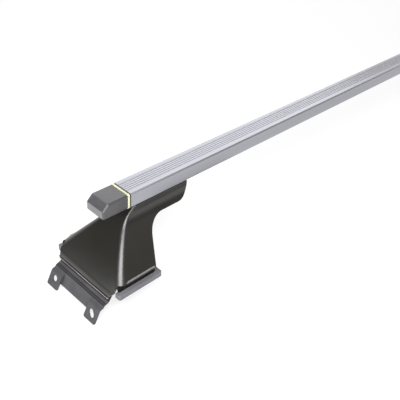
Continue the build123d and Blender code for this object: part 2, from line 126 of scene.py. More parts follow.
# Bolts, in the foot's own frame, two in each row
BOLTS_IN_ROW = 2
SLOT_BOLT_FIRST = 28.0 * MM
SLOT_BOLT_SPACING = 44.0 * MM
SLOT_BOLT_SEAT = 2.4 * MM
SLOT_BOLT_SIDES = 4
SLOT_BOLT_HEAD = 13.0 * MM
SLOT_BOLT_HEAD_HEIGHT = 5.0 * MM
SLOT_BOLT_RADIUS = 4.0 * MM
SLOT_BOLT_LENGTH = 15.0 * MM
SLOT_BOLT_PITCH = 1.25 * MM
PLATE_BOLT_X = -29.0 * MM
PLATE_BOLT_SPACING = 76.0 * MM
PLATE_BOLT_SEAT = -70.8 * MM
PLATE_BOLT_SIDES = 6
PLATE_BOLT_HEAD = 10.0 * MM
PLATE_BOLT_HEAD_HEIGHT = 4.0 * MM
PLATE_BOLT_RADIUS = 3.0 * MM
PLATE_BOLT_LENGTH = 11.5 * MM
PLATE_BOLT_PITCH = 1.0 * MM
SHANK_SIDES = 32
THREAD_CORE = 0.86
THREAD_STEPS = 20
THREAD_SIDES = 6
PLAIN_PITCHES = 2.0

# Values that follow from the hood's sizes
FLARE = atan((BASE_HALF - NECK_HALF) / (BASE_DEPTH - NECK_DEPTH))
FRONT_CHORD = hypot(FRONT_TOP + LIP_REACH, LIP_DEPTH)
FRONT_RADIUS = FRONT_CHORD**2 / (8 * FRONT_BOW) + FRONT_BOW / 2
FRONT_SAG = (FRONT_RADIUS - FRONT_BOW) / FRONT_CHORD
FRONT_CENTRE_X = (FRONT_TOP - LIP_REACH) / 2 + FRONT_SAG * LIP_DEPTH
FRONT_CENTRE_DEPTH = LIP_DEPTH / 2 + FRONT_SAG * (FRONT_TOP + LIP_REACH)

# Corner of the bar's box with the least X, Y and Z
BAR_LOW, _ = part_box("crossbar_tube")


def mesh_piece(name, mesh, material):
    """New object at the origin with the given mesh and one material."""
    mesh.name = name
    mesh.materials.clear()
    mesh.materials.append(material)
    piece = bpy.data.objects.new(name, mesh)
    bpy.context.scene.collection.objects.link(piece)
    return piece


def settle(piece):
    """Turns a piece's modifiers into plain mesh."""
    depsgraph = bpy.context.evaluated_depsgraph_get()
    mesh = bpy.data.meshes.new_from_object(piece.evaluated_get(depsgraph))
    piece.modifiers.clear()
    piece.data = mesh
    mesh.name = piece.name
    return piece


def shaded(piece):
    """Shades a piece smooth between its hard edges."""
    piece.data.shade_smooth()
    piece.data.set_sharp_from_angle(angle=EDGE_ANGLE)
    return piece


def soften(piece, width):
    """Rounds a piece's hard edges and shades it smooth between the edges that are left."""
    bevel = piece.modifiers.new("edges", "BEVEL")
    bevel.width = width
    bevel.segments = EDGE_STEPS
    bevel.limit_method = "ANGLE"
    bevel.angle_limit = EDGE_ANGLE
    return shaded(settle(piece))


def softened_copy(node, name, width, material):
    """Copy of a solid's mesh with its doubles merged, its flat faces joined and its edges rounded."""
    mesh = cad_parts[node].data.copy()
    normals = mesh.attributes.get("custom_normal")
    if normals:
        mesh.attributes.remove(normals)
    shape = bmesh.new()
    shape.from_mesh(mesh)
    bmesh.ops.remove_doubles(shape, verts=shape.verts, dist=MERGE_REACH)
    bmesh.ops.dissolve_limit(shape, angle_limit=FLAT_ANGLE, verts=shape.verts, edges=shape.edges)
    shape.to_mesh(mesh)
    shape.free()
    return soften(mesh_piece(name, mesh, material), width)


# Materials

# Places of a finish's dark and pale colour on its noise, and of shelter on the occlusion's scale
DARK_PLACE = 0.3
PALE_PLACE = 0.7
SHELTERED_PLACE = 0.30
OPEN_PLACE = 0.80
SHELTER_SAMPLES = 8
NOISE_ROUGHNESS = 0.55
WHITE = (1.0, 1.0, 1.0)

# Colour sockets of a mix node
MIX_FIRST = 6
MIX_SECOND = 7
MIX_RESULT = 2


class Finish:
    """Node material around one shader, with short calls for the nodes that the finishes share."""

    def __init__(self, name):
        self.material = bpy.data.materials.new(name)
        self.material.use_nodes = True
        self.tree = self.material.node_tree
        self.shader = self.tree.nodes["Principled BSDF"]
        self.place = self.node("ShaderNodeTexCoord").outputs["Object"]

    def node(self, kind, **values):
        """New node with its settings."""
        made = self.tree.nodes.new(kind)
        for key, value in values.items():
            setattr(made, key, value)
        return made

    def link(self, source, target):
        self.tree.links.new(source, target)

    def set(self, **values):
        """Sets constants on the shader's own inputs."""
        for key, value in values.items():
            self.shader.inputs[key.replace("_", " ")].default_value = value

    def stretched(self, scale):
        """Object coordinates scaled by axis."""
        mapping = self.node("ShaderNodeMapping")
        mapping.inputs["Scale"].default_value = scale
        self.link(self.place, mapping.inputs["Vector"])
        return mapping.outputs["Vector"]

    def noise(self, scale, detail, vector=None):
        """Noise value at a scale, in cycles for each metre."""
        texture = self.node("ShaderNodeTexNoise")
        texture.inputs["Scale"].default_value = scale
        texture.inputs["Detail"].default_value = detail
        texture.inputs["Roughness"].default_value = NOISE_ROUGHNESS
        self.link(vector or self.place, texture.inputs["Vector"])
        return texture.outputs["Fac"]

    def ramp(self, value, *stops):
        """Colour ramp through stops of place and colour."""
        ramp = self.node("ShaderNodeValToRGB")
        elements = ramp.color_ramp.elements
        while len(elements) < len(stops):
            elements.new(0.5)
        for element, (place, colour) in zip(elements, stops):
            element.position = place
            element.color = (*colour, 1.0)
        self.link(value, ramp.inputs["Fac"])
        return ramp.outputs["Color"]

    def varied(self, value, dark, pale):
        """Colour that goes from dark to pale with a noise."""
        return self.ramp(value, (DARK_PLACE, dark), (PALE_PLACE, pale))

    def span(self, value, low, high):
        """Value from 0 to 1 mapped to a range."""
        mapped = self.node("ShaderNodeMapRange")
        mapped.inputs["To Min"].default_value = low
        mapped.inputs["To Max"].default_value = high
        self.link(value, mapped.inputs["Value"])
        return mapped.outputs["Result"]

    def painted_shade(self, colour, reach, dark):
        """Colour darkened where another surface lies within reach: painted shade in crevices and where
        parts meet.
        """
        shelter = self.node("ShaderNodeAmbientOcclusion", samples=SHELTER_SAMPLES)
        shelter.inputs["Distance"].default_value = reach
        crevice_shade = self.ramp(shelter.outputs["AO"], (SHELTERED_PLACE, (dark,) * 3), (OPEN_PLACE, WHITE))
        return self.mixed(colour, crevice_shade, "MULTIPLY")

    def mixed(self, first, second, kind="MIX", share=None):
        """Two colours mixed."""
        mix = self.node("ShaderNodeMix", data_type="RGBA", blend_type=kind)
        mix.inputs["Factor"].default_value = 1.0
        if share:
            self.link(share, mix.inputs["Factor"])
        self.link(first, mix.inputs[MIX_FIRST])
        self.link(second, mix.inputs[MIX_SECOND])
        return mix.outputs[MIX_RESULT]

    def by_depth(self, *stops):
        """Grey that changes with the depth below the bar, through stops of depth and grey."""
        first, last = stops[0][0], stops[-1][0]
        axes = self.node("ShaderNodeSeparateXYZ")
        self.link(self.place, axes.inputs[0])
        mapped = self.node("ShaderNodeMapRange")
        mapped.inputs["From Min"].default_value = BAR_LOW.z - first
        mapped.inputs["From Max"].default_value = BAR_LOW.z - last
        self.link(axes.outputs["Z"], mapped.inputs["Value"])
        greys = [((depth - first) / (last - first), (grey,) * 3) for depth, grey in stops]
        return self.ramp(mapped.outputs["Result"], *greys)

    def facing(self, axis, low, high):
        """1 on what faces along an axis, either way, fading to 0 on what slopes."""
        axes = self.node("ShaderNodeSeparateXYZ")
        self.link(self.node("ShaderNodeNewGeometry").outputs["Normal"], axes.inputs[0])
        size = self.node("ShaderNodeMath", operation="ABSOLUTE")
        self.link(axes.outputs[axis], size.inputs[0])
        mapped = self.node("ShaderNodeMapRange", interpolation_type="SMOOTHSTEP")
        mapped.inputs["From Min"].default_value = low
        mapped.inputs["From Max"].default_value = high
        self.link(size.outputs[0], mapped.inputs["Value"])
        return mapped.outputs["Result"]

    def bump(self, height, distance, strength, before=None):
        """Bumped normal from a height."""
        bump = self.node("ShaderNodeBump")
        bump.inputs["Distance"].default_value = distance
        bump.inputs["Strength"].default_value = strength
        self.link(height, bump.inputs["Height"])
        if before:
            self.link(before, bump.inputs["Normal"])
        return bump.outputs["Normal"]

    def use(self, **sockets):
        """Links values to the shader's inputs."""
        for key, value in sockets.items():
            self.link(value, self.shader.inputs[key.replace("_", " ")])
        return self.material


def drawn_aluminium():
    """Satin anodised aluminium with fine lines along the bar."""
    finish = Finish("drawn_aluminium")
    finish.set(Metallic=0.9)
    along_bar = finish.stretched((1.5, 2200.0, 2200.0))
    lines = finish.noise(scale=1.0, detail=3.0, vector=along_bar)
    clouds = finish.noise(scale=9.0, detail=3.0)
    colour = finish.varied(lines, dark=(0.346, 0.348, 0.383), pale=(0.404, 0.406, 0.441))
    rough = finish.span(clouds, low=0.27, high=0.35)
    normal = finish.bump(lines, distance=0.01 * MM, strength=0.4)
    return finish.use(Base_Color=colour, Roughness=rough, Normal=normal)


def moulded_plastic():
    """Dark grey moulded plastic with a fine spark-eroded grain, painted light on its end faces and
    painted shade in its crevices.
    """
    finish = Finish("moulded_plastic")
    finish.set(Specular_IOR_Level=0.75)
    grain = finish.noise(scale=5200.0, detail=2.0)
    clouds = finish.noise(scale=60.0, detail=3.0)
    # Painted light: faces that look along the bar, the cap's ends, are made paler
    ends = finish.facing("X", low=0.90, high=0.99)
    colour = finish.varied(clouds, dark=(0.056, 0.054, 0.058), pale=(0.070, 0.068, 0.073))
    painted_end_light = finish.varied(clouds, dark=(0.135, 0.131, 0.139), pale=(0.185, 0.180, 0.190))
    colour = finish.mixed(colour, painted_end_light, share=ends)
    # Painted shade in crevices and where parts meet
    colour = finish.painted_shade(colour, reach=2.0 * MM, dark=0.25)
    rough = finish.span(grain, low=0.30, high=0.42)
    normal = finish.bump(grain, distance=0.03 * MM, strength=0.35)
    return finish.use(Base_Color=colour, Roughness=rough, Normal=normal)


def cream_rubber():
    """Pale cream sealing rubber."""
    finish = Finish("cream_rubber")
    clouds = finish.noise(scale=140.0, detail=3.0)
    colour = finish.varied(clouds, dark=(0.72, 0.70, 0.45), pale=(0.82, 0.80, 0.56))
    rough = finish.span(clouds, low=0.5, high=0.65)
    normal = finish.bump(clouds, distance=0.02 * MM, strength=0.4)
    return finish.use(Base_Color=colour, Roughness=rough, Normal=normal)


def black_paint():
    """Glossy black paint on pressed sheet, with faint waves and peel, a painted light strip on the lip, a
    painted highlight on up-facing faces such as the flange, and painted shade in crevices.
    """
    finish = Finish("black_paint")
    finish.set(Specular_IOR_Level=0.5, Coat_Weight=0.45, Coat_Roughness=0.27, Coat_IOR=1.5)
    peel = finish.noise(scale=900.0, detail=2.0)
    waves = finish.noise(scale=38.0, detail=2.0)
    clouds = finish.noise(scale=24.0, detail=3.0)
    light_streaks = finish.noise(scale=160.0, detail=4.0, vector=finish.stretched((1.0, 0.2, 1.0)))
    # Painted light: a lighter strip from the crease down the lip, stopping short of the lip's edge, which
    # stays dark
    crease_fade = 0.5 * MM
    lip = finish.by_depth(
        (CREASE_DEPTH - crease_fade, 0.0),
        (CREASE_DEPTH + crease_fade, 0.3),
        (LIP_EDGE_DEPTH - 1.1 * MM, 1.0),
        (LIP_EDGE_DEPTH - 0.7 * MM, 0.0),
    )
    # Painted highlight on faces that look up, such as the flange along the flank's foot
    flange = finish.facing("Z", low=0.80, high=0.97)
    colour = finish.varied(clouds, dark=(0.006, 0.006, 0.004), pale=(0.010, 0.009, 0.007))
    lip_light = finish.varied(light_streaks, dark=(0.070, 0.069, 0.069), pale=(0.105, 0.103, 0.102))
    flange_highlight = finish.varied(light_streaks, dark=(0.200, 0.196, 0.190), pale=(0.310, 0.305, 0.296))
    colour = finish.mixed(colour, lip_light, share=lip)
    colour = finish.mixed(colour, flange_highlight, share=flange)
    # Painted shade in crevices and where parts meet
    colour = finish.painted_shade(colour, reach=2.5 * MM, dark=0.2)
    rough = finish.span(clouds, low=0.25, high=0.33)
    normal = finish.bump(waves, distance=0.35 * MM, strength=0.35)
    normal = finish.bump(peel, distance=0.012 * MM, strength=0.04, before=normal)
    return finish.use(Base_Color=colour, Roughness=rough, Normal=normal)


def plate_paint():
    """Thin black paint on the base plate, duller than the hood's, with a painted highlight along its
    lip's edge and painted shade in crevices.
    """
    finish = Finish("plate_paint")
    finish.set(Specular_IOR_Level=0.12)
    grain = finish.noise(scale=1500.0, detail=3.0)
    clouds = finish.noise(scale=45.0, detail=3.0)
    # Painted highlight: a pale line along the lip's edge
    edge = finish.by_depth((PLATE_LIP_DEPTH - 0.8 * MM, 0.0), (PLATE_LIP_DEPTH - 0.5 * MM, 1.0))
    colour = finish.varied(clouds, dark=(0.007, 0.007, 0.007), pale=(0.012, 0.012, 0.011))
    lip_edge_highlight = finish.varied(clouds, dark=(0.20, 0.197, 0.195), pale=(0.32, 0.316, 0.312))
    colour = finish.mixed(colour, lip_edge_highlight, share=edge)
    # Painted shade in crevices and where parts meet
    colour = finish.painted_shade(colour, reach=1.5 * MM, dark=0.3)
    rough = finish.span(grain, low=0.58, high=0.72)
    normal = finish.bump(grain, distance=0.02 * MM, strength=0.3)
    return finish.use(Base_Color=colour, Roughness=rough, Normal=normal)


def grey_coating():
    """Matte dark grey coating of the bracket, with a fine dry grain, and painted shade lines and a
    painted highlight along its folds.
    """
    finish = Finish("grey_coating")
    finish.set(Specular_IOR_Level=0.2)
    grain = finish.noise(scale=2600.0, detail=3.0)
    clouds = finish.noise(scale=70.0, detail=4.0)
    # Painted shade and highlight along the folds: greys of the slope, the crest under it, the fold lines
    # and the strip
    slope = 0.10
    crest = 1.10
    line = 0.15
    strip = 0.60
    fold_shading = finish.by_depth(
        (PLATE_LIP_DEPTH, slope),
        (SLOPE_DEPTH - 0.4 * MM, slope),
        (SLOPE_DEPTH - 0.1 * MM, crest),
        (SLOPE_DEPTH + 0.9 * MM, 1.00),
        (SLOPE_DEPTH + 1.3 * MM, line),
        (SLOPE_DEPTH + 1.7 * MM, strip),
        (STRIP_DEPTH - 0.3 * MM, strip),
        (STRIP_DEPTH + 0.2 * MM, line),
        (STRIP_DEPTH + 1.2 * MM, 0.92),
    )
    colour = finish.varied(clouds, dark=(0.065, 0.063, 0.068), pale=(0.089, 0.086, 0.094))
    colour = finish.mixed(colour, fold_shading, "MULTIPLY")
    # Painted shade in crevices and where parts meet
    colour = finish.painted_shade(colour, reach=4.0 * MM, dark=0.2)
    rough = finish.span(grain, low=0.42, high=0.58)
    normal = finish.bump(grain, distance=0.02 * MM, strength=0.35)
    return finish.use(Base_Color=colour, Roughness=rough, Normal=normal)


def grey_rubber():
    """Grey moulded rubber of the pad, with a soft bloom."""
    finish = Finish("grey_rubber")
    grain = finish.noise(scale=1900.0, detail=3.0)
    bloom = finish.noise(scale=55.0, detail=4.0)
    colour = finish.varied(bloom, dark=(0.147, 0.145, 0.158), pale=(0.179, 0.176, 0.194))
    rough = finish.span(grain, low=0.55, high=0.72)
    normal = finish.bump(grain, distance=0.04 * MM, strength=0.4)
    return finish.use(Base_Color=colour, Roughness=rough, Normal=normal)


def zinc_plate():
    """Zinc-plated steel of the bolts, washers and nuts."""
    finish = Finish("zinc_plate")
    finish.set(Metallic=1.0)
    spangle = finish.noise(scale=420.0, detail=3.0)
    colour = finish.varied(spangle, dark=(0.46, 0.46, 0.43), pale=(0.60, 0.60, 0.58))
    rough = finish.span(spangle, low=0.26, high=0.42)
    normal = finish.bump(spangle, distance=0.02 * MM, strength=0.3)
    return finish.use(Base_Color=colour, Roughness=rough, Normal=normal)


ALUMINIUM = drawn_aluminium()
PLASTIC = moulded_plastic()
CREAM = cream_rubber()
PAINT = black_paint()
PLATE = plate_paint()
COATING = grey_coating()
RUBBER = grey_rubber()
ZINC = zinc_plate()


# Hood


def smooth(share):
    """Eased step from 0 to 1."""
    share = min(1.0, max(0.0, share))
    return share * share * (3 - 2 * share)


def blend(low, high, share):
    """Value between two by a share."""
    return low + (high - low) * share


def front_x(depth):
    """X of the foot's bowed front at a depth, with the lip kicked out below its crease."""
    bowed = FRONT_CENTRE_X - sqrt(FRONT_RADIUS**2 - (FRONT_CENTRE_DEPTH - depth) ** 2)
    return bowed - max(0.0, depth - CREASE_DEPTH) * LIP_KICK


def flank_half(depth):
    """Half width of the hood at a depth below the shoulder: neck, round knee and straight flare."""
    below_knee = depth - NECK_DEPTH
    along = below_knee + FLARE_ROUND * tan(FLARE / 2)
    if along < 0:
        return NECK_HALF
    if along > FLARE_ROUND * sin(FLARE):
        return NECK_HALF + below_knee * tan(FLARE)
    return NECK_HALF + FLARE_ROUND - sqrt(FLARE_ROUND**2 - along**2)


def corner_radius(depth):
    """Radius of the bend between front and flank at a depth."""
    return NECK_CORNER + (BASE_CORNER - NECK_CORNER) * depth / BASE_DEPTH


def section_x(across, depth):
    """X of the hood's front and corner at a distance from the middle."""
    radius = corner_radius(depth)
    past = max(0.0, abs(across) - (flank_half(depth) - radius))
    return front_x(depth) + radius - sqrt(max(0.0, radius**2 - past**2))


# The flank's profile runs round the shoulder, down the flare, through a fillet and out along a flange
SHOULDER_RUN = SHOULDER_ROUND * pi / 2
FLANGE_DEPTH = BASE_DEPTH - HOOD_SHEET
FLANGE_TURN = pi / 2 - FLARE
FLANGE_TANGENT = FLANGE_ROUND * tan(FLANGE_TURN / 2)
FLANGE_MEET = NECK_HALF + (FLANGE_DEPTH - NECK_DEPTH) * tan(FLARE)
FILLET_START = FLANGE_DEPTH - FLANGE_TANGENT * cos(FLARE) + SHOULDER_RUN - SHOULDER_ROUND
FILLET_END = FILLET_START + FLANGE_ROUND * FLANGE_TURN
PROFILE_END = FILLET_END + FLANGE_EDGE - FLANGE_MEET - FLANGE_TANGENT


def depth_at(run):
    """Depth on the flank below the shoulder after a run down the hood's side."""
    return run - SHOULDER_RUN + SHOULDER_ROUND


def run_at(depth):
    """Run down the hood's side to a depth below the shoulder."""
    return depth + SHOULDER_RUN - SHOULDER_ROUND


def plain_profile(run):
    """Half width and depth of the hood after a run down its side, without the flange."""
    if run < SHOULDER_RUN:
        turn = run / SHOULDER_ROUND
        return NECK_HALF - SHOULDER_ROUND * (1 - sin(turn)), SHOULDER_ROUND * (1 - cos(turn))
    depth = depth_at(run)
    if run > FILLET_START:
        share = (run - FILLET_START) / (PROFILE_END - FILLET_START)
        depth = blend(depth_at(FILLET_START), BASE_DEPTH, share)
    return flank_half(depth), depth


def flange_profile(run):
    """Half width and depth of the flank after a run down its side, with the flange."""
    if run < FILLET_START:
        return plain_profile(run)
    if run < FILLET_END:
        turn = FLANGE_TURN - (run - FILLET_START) / FLANGE_ROUND
        centre = FLANGE_MEET + FLANGE_TANGENT
        return centre - FLANGE_ROUND * sin(turn), FLANGE_DEPTH - FLANGE_ROUND * (1 - cos(turn))
    return FLANGE_MEET + FLANGE_TANGENT + run - FILLET_END, FLANGE_DEPTH


def free_edge_rows():
    """Rows of the hood as (X of the free edge, its run, run at the front corner), from top to bottom."""
    edge_turn = atan((WAIST_TOP - FLANK_FOOT) / (BASE_DEPTH - FLAG_DEPTH))
    waist_turn = pi / 2 - edge_turn
    waist_tangent = WAIST_ROUND * tan(waist_turn / 2)
    waist_x = WAIST_TOP + waist_tangent
    waist_end = FLAG_DEPTH + waist_tangent * cos(edge_turn)
    edge_x = WAIST_TOP - waist_tangent * sin(edge_turn)
    rows = []

    def stretch(count, place, corner_from, corner_to):
        for i in range(count):
            share = i / count
            rows.append((*place(share), blend(corner_from, corner_to, share)))

    def flag_end(share):
        return FLAG_LENGTH, run_at(FLAG_DEPTH - FLAG_ROUND) * share

    def flag_round(share):
        turn = pi / 2 * share
        x = FLAG_LENGTH - FLAG_ROUND + FLAG_ROUND * cos(turn)
        return x, run_at(FLAG_DEPTH - FLAG_ROUND + FLAG_ROUND * sin(turn))

    def flag_edge(share):
        return blend(FLAG_LENGTH - FLAG_ROUND, waist_x, share), run_at(FLAG_DEPTH)

    def waist(share):
        turn = waist_turn * share
        return waist_x - WAIST_ROUND * sin(turn), run_at(FLAG_DEPTH + WAIST_ROUND * (1 - cos(turn)))

    def straight(share):
        run = blend(run_at(waist_end), FILLET_START, share)
        return edge_x - (run - run_at(waist_end)) * tan(edge_turn), run

    foot_x = straight(1.0)[0]

    def foot(share):
        return foot_x - share * (foot_x - FLANK_FOOT), blend(FILLET_START, PROFILE_END, share)

    stretch(FLAG_END_ROWS, flag_end, 0.0, FLAG_ROUND_CORNER)
    stretch(FLAG_ROUND_ROWS, flag_round, FLAG_ROUND_CORNER, FLAG_EDGE_CORNER)
    stretch(FLAG_EDGE_ROWS, flag_edge, FLAG_EDGE_CORNER, WAIST_CORNER)
    stretch(WAIST_ROWS, waist, WAIST_CORNER, STRAIGHT_CORNER)
    stretch(STRAIGHT_ROWS, straight, STRAIGHT_CORNER, FILLET_START)
    stretch(FOOT_ROWS, foot, FILLET_START, PROFILE_END)
    rows.append((*foot(1.0), PROFILE_END))
    return rows


def hood_row(edge_x, edge_run, corner_run):
    """Points of one row round the hood, from the near flank's free edge to the far one."""
    half, depth = plain_profile(corner_run)
    radius = corner_radius(depth)
    front = front_x(depth)
    lip_turn = asin((LIP_HALF - BASE_HALF + BASE_CORNER) / BASE_CORNER)
    turns = list(np.linspace(pi / 2, lip_turn, CORNER_CELLS + 1))
    turns += list(np.linspace(lip_turn, 0.0, CORNER_LIP_CELLS + 1))[1:]
    row = []
    for i in range(FLANK_CELLS):
        share = 1 - i / FLANK_CELLS
        run = blend(corner_run, edge_run, share)
        flange = smooth(share / FLANGE_START_SHARE) * smooth((1 - share) / FLANGE_END_SHARE)
        plain_half, plain_depth = plain_profile(run)
        wide_half, wide_depth = flange_profile(run)
        x = blend(front + radius, edge_x, share)
        row.append((x, -blend(plain_half, wide_half, flange), blend(plain_depth, wide_depth, flange)))
    for turn in turns:
        row.append((front + radius * (1 - cos(turn)), radius - half - radius * sin(turn), depth))
    middle = half - radius
    for i in range(1, FRONT_CELLS // 2 + 1):
        row.append((front, -middle * (1 - 2 * i / FRONT_CELLS), depth))
    return row + [(x, -y, z) for x, y, z in reversed(row[:-1])]


def lip_half(depth):
    """Half width of the front lip at a depth."""
    share = (depth - LIP_TAPER_TOP) / (LIP_TAPER_END - LIP_TAPER_TOP)
    return blend(LIP_HALF, LIP_END_HALF, smooth(share))


def hood_mesh():
    """Outer face of the left foot's pressed hood: sides, front, top and hanging lip."""
    rows = [hood_row(*row) for row in free_edge_rows()]
    width = len(rows[0])
    points = [point for row in rows for point in row]
    faces = []
    for r in range(len(rows) - 1):
        for c in range(width - 1):
            first = r * width + c
            faces.append((first, first + 1, first + width + 1, first + width))
    middle = width // 2
    for c in range(middle - 1):
        faces.append((width - 1 - c, width - 2 - c, c + 1, c))
    faces.append((middle + 1, middle, middle - 1))

    lip_from = FLANK_CELLS + CORNER_CELLS
    lip_to = width - 1 - lip_from
    above = [(len(rows) - 1) * width + c for c in range(lip_from, lip_to + 1)]
    shares = [rows[-1][c][1] / LIP_HALF for c in range(lip_from, lip_to + 1)]
    for depth in np.linspace(BASE_DEPTH, LIP_EDGE_DEPTH, LIP_CELLS + 1)[1:]:
        below = list(range(len(points), len(points) + len(shares)))
        for share in shares:
            across = share * lip_half(depth)
            points.append((section_x(across, depth), across, depth))
        for i in range(len(shares) - 1):
            faces.append((above[i], above[i + 1], below[i + 1], below[i]))
        above = below

    mesh = bpy.data.meshes.new("hood")
    placed = [(BAR_LOW.x + x, y, BAR_LOW.z - depth) for x, y, depth in points]
    mesh.from_pydata(placed, [], faces)
    return mesh


def mirrored(mesh):
    """Mesh mirrored about the bar's middle, with its faces still pointing outwards."""
    other = mesh.copy()
    other.transform(Matrix.Scale(-1, 4, Vector((1, 0, 0))))
    other.flip_normals()
    return other


def thicken(mesh, thickness, rim):
    """Gives a sheet's outer face its thickness, with a rounded rim along its free edges."""
    shape = bmesh.new()
    shape.from_mesh(mesh)
    outer = list(shape.verts)
    faces = list(shape.faces)
    free = [edge for edge in shape.edges if edge.is_boundary]
    away = {}
    for edge in free:
        along = edge.verts[1].co - edge.verts[0].co
        side = along.cross(edge.link_faces[0].normal).normalized()
        if side.dot(edge.verts[0].co - edge.link_faces[0].calc_center_median()) < 0:
            side.negate()
        for vertex in edge.verts:
            away[vertex] = away.get(vertex, Vector()) + side
    inner = {vertex: shape.verts.new(vertex.co - vertex.normal * thickness) for vertex in outer}
    rings = [{vertex: vertex for vertex in away}]
    for sink in RIM_SINKS:
        ring = {}
        for vertex, side in away.items():
            place = vertex.co - vertex.normal * thickness * sink + side.normalized() * rim
            ring[vertex] = shape.verts.new(place)
        rings.append(ring)
    rings.append({vertex: inner[vertex] for vertex in away})
    for face in faces:
        shape.faces.new([inner[vertex] for vertex in reversed(face.verts)])
    for edge in free:
        loop = edge.link_loops[0]
        first, last = loop.vert, loop.link_loop_next.vert
        for ring, following in zip(rings, rings[1:]):
            shape.faces.new((ring[last], ring[first], following[first], following[last]))
    shape.to_mesh(mesh)
    shape.free()
    return mesh


def hood_piece(name, mesh):
    """Hood with its sheet's thickness and rounded rim."""
    return shaded(mesh_piece(name, thicken(mesh, HOOD_SHEET, SHEET_EDGE), PAINT))


# Bolts


def bolt_tree():
    """Geometry nodes for a row of bolts, each a flat-sided head and a shank with a spiral thread."""
    tree = bpy.data.node_groups.new("threaded_bolts", "GeometryNodeTree")
    sockets = tree.interface
    sockets.new_socket("Geometry", in_out="OUTPUT", socket_type="NodeSocketGeometry")
    for name, kind in (
        ("Count", "Int"),
        ("First Place", "Vector"),
        ("Spacing", "Vector"),
        ("Turn", "Rotation"),
        ("Head Sides", "Int"),
        ("Head Turn", "Rotation"),
        ("Head Radius", "Float"),
        ("Head Height", "Float"),
        ("Core Radius", "Float"),
        ("Length", "Float"),
        ("Pitch", "Float"),
        ("Thread Depth", "Float"),
        ("Material", "Material"),
    ):
        sockets.new_socket(name, in_out="INPUT", socket_type=f"NodeSocket{kind}")

    def add(kind, **links):
        """First output of a new node whose inputs are linked or set."""
        made = tree.nodes.new(kind)
        for key, source in links.items():
            target = made.inputs[key.replace("_", " ")]
            if hasattr(source, "links"):
                tree.links.new(source, target)
            else:
                target.default_value = source
        return made.outputs[0]

    def worked(first, operation, second):
        """Result of a calculation with two values."""
        made = tree.nodes.new("ShaderNodeMath")
        made.operation = operation
        for socket, source in zip(made.inputs, (first, second)):
            if hasattr(source, "links"):
                tree.links.new(source, socket)
            else:
                socket.default_value = source
        return made.outputs[0]

    given = tree.nodes.new("NodeGroupInput").outputs
    sink = worked(given["Head Height"], "MULTIPLY", -0.5)
    head = add(
        "GeometryNodeMeshCylinder",
        Vertices=given["Head Sides"],
        Radius=given["Head Radius"],
        Depth=given["Head Height"],
    )
    head = add(
        "GeometryNodeTransform",
        Geometry=head,
        Translation=add("ShaderNodeCombineXYZ", Z=sink),
        Rotation=given["Head Turn"],
    )
    rise = worked(given["Length"], "MULTIPLY", 0.5)
    core = add(
        "GeometryNodeMeshCylinder",
        Vertices=SHANK_SIDES,
        Radius=given["Core Radius"],
        Depth=given["Length"],
    )
    core = add(
        "GeometryNodeTransform",
        Geometry=core,
        Translation=add("ShaderNodeCombineXYZ", Z=rise),
    )
    # One pitch stays plain at each end of the thread
    plain = worked(given["Pitch"], "MULTIPLY", PLAIN_PITCHES)
    threaded = worked(given["Length"], "SUBTRACT", plain)
    spiral = add(
        "GeometryNodeCurveSpiral",
        Resolution=THREAD_STEPS,
        Rotations=worked(threaded, "DIVIDE", given["Pitch"]),
        Start_Radius=given["Core Radius"],
        End_Radius=given["Core Radius"],
        Height=threaded,
    )
    ridge = add("GeometryNodeCurvePrimitiveCircle", Resolution=THREAD_SIDES, Radius=given["Thread Depth"])
    thread = add("GeometryNodeCurveToMesh", Curve=spiral, Profile_Curve=ridge, Fill_Caps=True)
    thread = add(
        "GeometryNodeTransform",
        Geometry=thread,
        Translation=add("ShaderNodeCombineXYZ", Z=given["Pitch"]),
    )
    bolt = tree.nodes.new("GeometryNodeJoinGeometry")
    for solid in (head, core, thread):
        tree.links.new(solid, bolt.inputs[0])
    row = add(
        "GeometryNodeMeshLine",
        Count=given["Count"],
        Start_Location=given["First Place"],
        Offset=given["Spacing"],
    )
    placed = add(
        "GeometryNodeInstanceOnPoints",
        Points=row,
        Instance=bolt.outputs[0],
        Rotation=given["Turn"],
    )
    real = add("GeometryNodeRealizeInstances", Geometry=placed)
    painted = add("GeometryNodeSetMaterial", Geometry=real, Material=given["Material"])
    tree.links.new(painted, tree.nodes.new("NodeGroupOutput").inputs[0])
    return tree


BOLT_TREE = bolt_tree()


def bolt_row(name, radius, **values):
    """Row of two threaded bolts as one plain mesh."""
    piece = mesh_piece(name, bpy.data.meshes.new(name), ZINC)
    depth = radius * (1 - THREAD_CORE)
    values |= {
        "Count": BOLTS_IN_ROW,
        "Core_Radius": radius - depth,
        "Thread_Depth": depth,
        "Material": ZINC,
    }
    modifier = piece.modifiers.new("bolts", "NODES")
    modifier.node_group = BOLT_TREE
    for socket in BOLT_TREE.interface.items_tree:
        if socket.in_out == "INPUT":
            modifier[socket.identifier] = values[socket.name.replace(" ", "_")]
    return shaded(settle(piece))


def slot_bolts(side, hand):
    """Square-head bolts that hang from the bar's slot."""
    first_x = hand * (BAR_LOW.x + SLOT_BOLT_FIRST)
    return bolt_row(
        f"slot_bolts_{side}",
        SLOT_BOLT_RADIUS,
        First_Place=(first_x, 0.0, BAR_LOW.z + SLOT_BOLT_SEAT),
        Spacing=(hand * SLOT_BOLT_SPACING, 0.0, 0.0),
        Turn=(pi, 0.0, 0.0),
        Head_Sides=SLOT_BOLT_SIDES,
        Head_Turn=(0.0, 0.0, pi / 4),
        Head_Radius=SLOT_BOLT_HEAD / sqrt(2),
        Head_Height=SLOT_BOLT_HEAD_HEIGHT,
        Length=SLOT_BOLT_LENGTH,
        Pitch=SLOT_BOLT_PITCH,
    )


